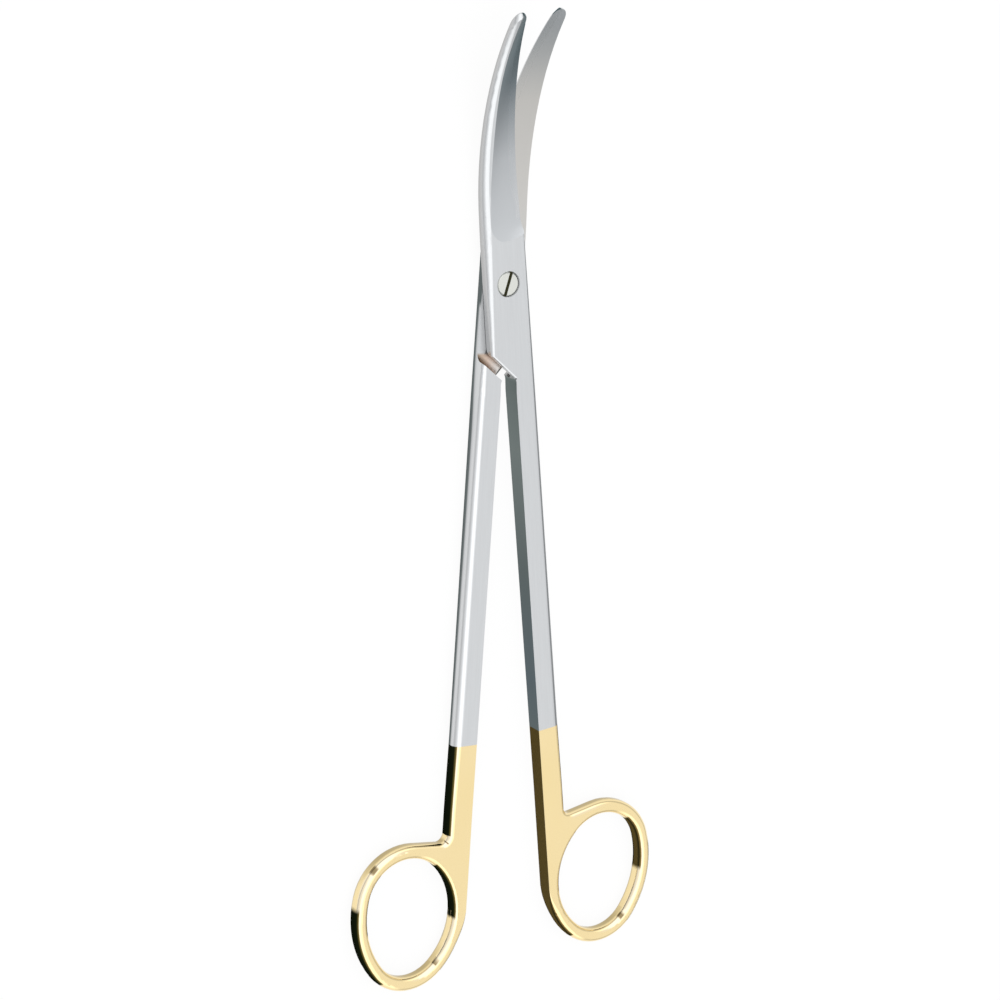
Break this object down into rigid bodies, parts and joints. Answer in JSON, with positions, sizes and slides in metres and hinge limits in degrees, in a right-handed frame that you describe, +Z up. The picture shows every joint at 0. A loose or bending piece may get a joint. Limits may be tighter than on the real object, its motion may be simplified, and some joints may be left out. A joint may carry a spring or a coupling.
{
  "type": "surgical scissors",
  "caption": "Curved surgical scissors with a screw lap joint, slim flat shanks, oval finger rings, gold plated handles and hard inserts along the cutting edges.",
  "frame": {"origin": "middle of the underside of the whole, in the rest pose", "axes": "+Y along the scissors towards the blade tips, +Z up from the surface they lie on, the way the blades curve, +X across, towards the front half's ring"},
  "size_m": [0.0836, 0.232, 0.019],
  "materials": {
    "forged_steel": "satin steel, with the handles polished and gold plated from part way down the shanks",
    "hard_insert": "fine ground, slightly darker than the steel",
    "screw_steel": "bright satin, slotted head"
  },
  "bodies": {
    "back": {"back_half": "forged_steel", "back_insert": "hard_insert", "pivot_screw": "screw_steel"},
    "front": {"front_half": "forged_steel", "front_insert": "hard_insert"}
  },
  "joints": [
    {"name": "pivot", "type": "hinge", "parent": "back", "child": "front", "pos_m": [0, 0.05245, 0.00245], "axis": [0, 0, 1], "range_deg": [-8.4, 120]}
  ]
}
